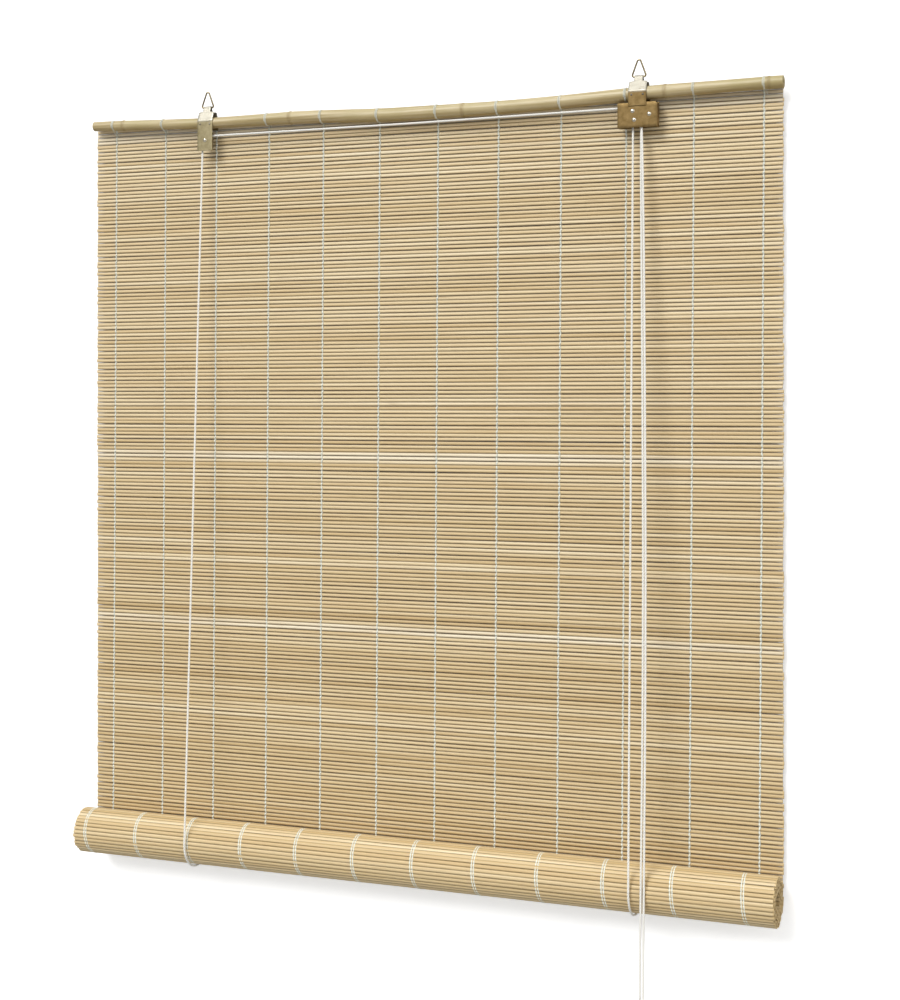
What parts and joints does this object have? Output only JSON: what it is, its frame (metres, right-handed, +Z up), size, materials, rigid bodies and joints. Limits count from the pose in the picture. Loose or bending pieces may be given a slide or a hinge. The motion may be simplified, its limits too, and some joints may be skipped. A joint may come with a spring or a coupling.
{
  "type": "bamboo roll up blind",
  "caption": "Reed roll-up blind on a bamboo pole, half raised: mat rolled in cord slings, hanger rings, pulley, cord lock and pull cords.",
  "frame": {"origin": "midway between the two hanger rings, at the height inside each ring where a hook carries it", "axes": "+X to the right along the rail seen from the room, +Y towards the wall, +Z up"},
  "size_m": [0.8015, 0.081, 1.0719],
  "materials": {
    "bamboo_pole": "waxed",
    "reed": "natural",
    "thread": "twisted cotton",
    "cord": "braided",
    "gilt_steel": "satin",
    "bright_steel": "bright",
    "roller_steel": "turned",
    "nail_steel": "dull",
    "turned_wood": "varnished",
    "band": "matte"
  },
  "bodies": {
    "head": {"head_rail": "bamboo_pole", "reed_mat": "reed", "warp_threads": "thread", "rail_ties": "thread", "left_strap": "gilt_steel", "right_strap": "gilt_steel", "strap_nails": "nail_steel", "left_pulley_cage": "gilt_steel", "left_pulley_rivet": "bright_steel", "lock_housing": "gilt_steel", "lock_back_plate": "gilt_steel", "lock_rivets": "bright_steel", "cross_cord": "cord", "right_turn_cord": "cord", "left_front_cord": "cord", "right_front_cord": "cord", "left_back_cord": "cord", "right_back_cord": "cord", "cord_knots": "cord", "front_pull_cord": "cord", "rear_pull_cord": "cord"},
    "left_hang_ring": {"left_ring": "bright_steel"},
    "right_hang_ring": {"right_ring": "bright_steel"},
    "left_pulley": {"left_pulley_wheel": "roller_steel"},
    "lock_roller": {"lock_guide_roller": "roller_steel"},
    "lock_cam": {"lock_cam": "roller_steel"},
    "slings": {"left_sling": "cord", "right_sling": "cord"},
    "roll": {"rolled_mat": "reed"},
    "pull": {"cord_hank": "cord", "hank_band": "band", "cord_tails": "cord", "pull_knob": "turned_wood"}
  },
  "joints": [
    {"name": "left_ring_swing", "type": "hinge", "parent": "head", "child": "left_hang_ring", "pos_m": [-0.251, 0, -0.0164], "axis": [1, 0, 0], "range_deg": [-90, 90]},
    {"name": "right_ring_swing", "type": "hinge", "parent": "head", "child": "right_hang_ring", "pos_m": [0.251, 0, -0.0164], "axis": [1, 0, 0], "range_deg": [-90, 90]},
    {"name": "lock_cam_swing", "type": "hinge", "parent": "head", "child": "lock_cam", "pos_m": [0.2634, -0.00296, -0.0558], "axis": [0, 1, 0], "range_deg": [0, 40]},
    {"name": "roll_lift", "type": "slide", "parent": "head", "child": "slings", "axis": [0, 0, 1], "range_m": [0, 0.738], "deforming": ["reed_mat", "warp_threads", "left_front_cord", "right_front_cord", "left_back_cord", "right_back_cord"]},
    {"name": "roll_turn", "type": "hinge", "parent": "slings", "child": "roll", "pos_m": [-0.003, -0.0155, -0.8379], "axis": [-1, 0, 0], "range_deg": [0, 1441]},
    {"name": "pull_drop", "type": "slide", "parent": "head", "child": "pull", "axis": [0, 0, -1], "range_m": [0, 1.476], "deforming": ["front_pull_cord", "rear_pull_cord"]},
    {"name": "left_pulley_spin", "type": "hinge", "parent": "head", "child": "left_pulley", "pos_m": [-0.251, -0.00332, -0.0536], "axis": [0, 1, 0], "range_deg": [0, 16915]},
    {"name": "lock_roller_spin", "type": "hinge", "parent": "head", "child": "lock_roller", "pos_m": [0.2459, -0.00296, -0.0518], "axis": [0, 1, 0], "range_deg": [0, 22858]}
  ],
  "couplings": [
    {"joint": "roll_turn", "follows": "roll_lift", "rad_per_m": 34.055},
    {"joint": "pull_drop", "follows": "roll_lift", "ratio": 2},
    {"joint": "left_pulley_spin", "follows": "roll_lift", "rad_per_m": 400},
    {"joint": "lock_roller_spin", "follows": "roll_lift", "rad_per_m": 540.54}
  ]
}
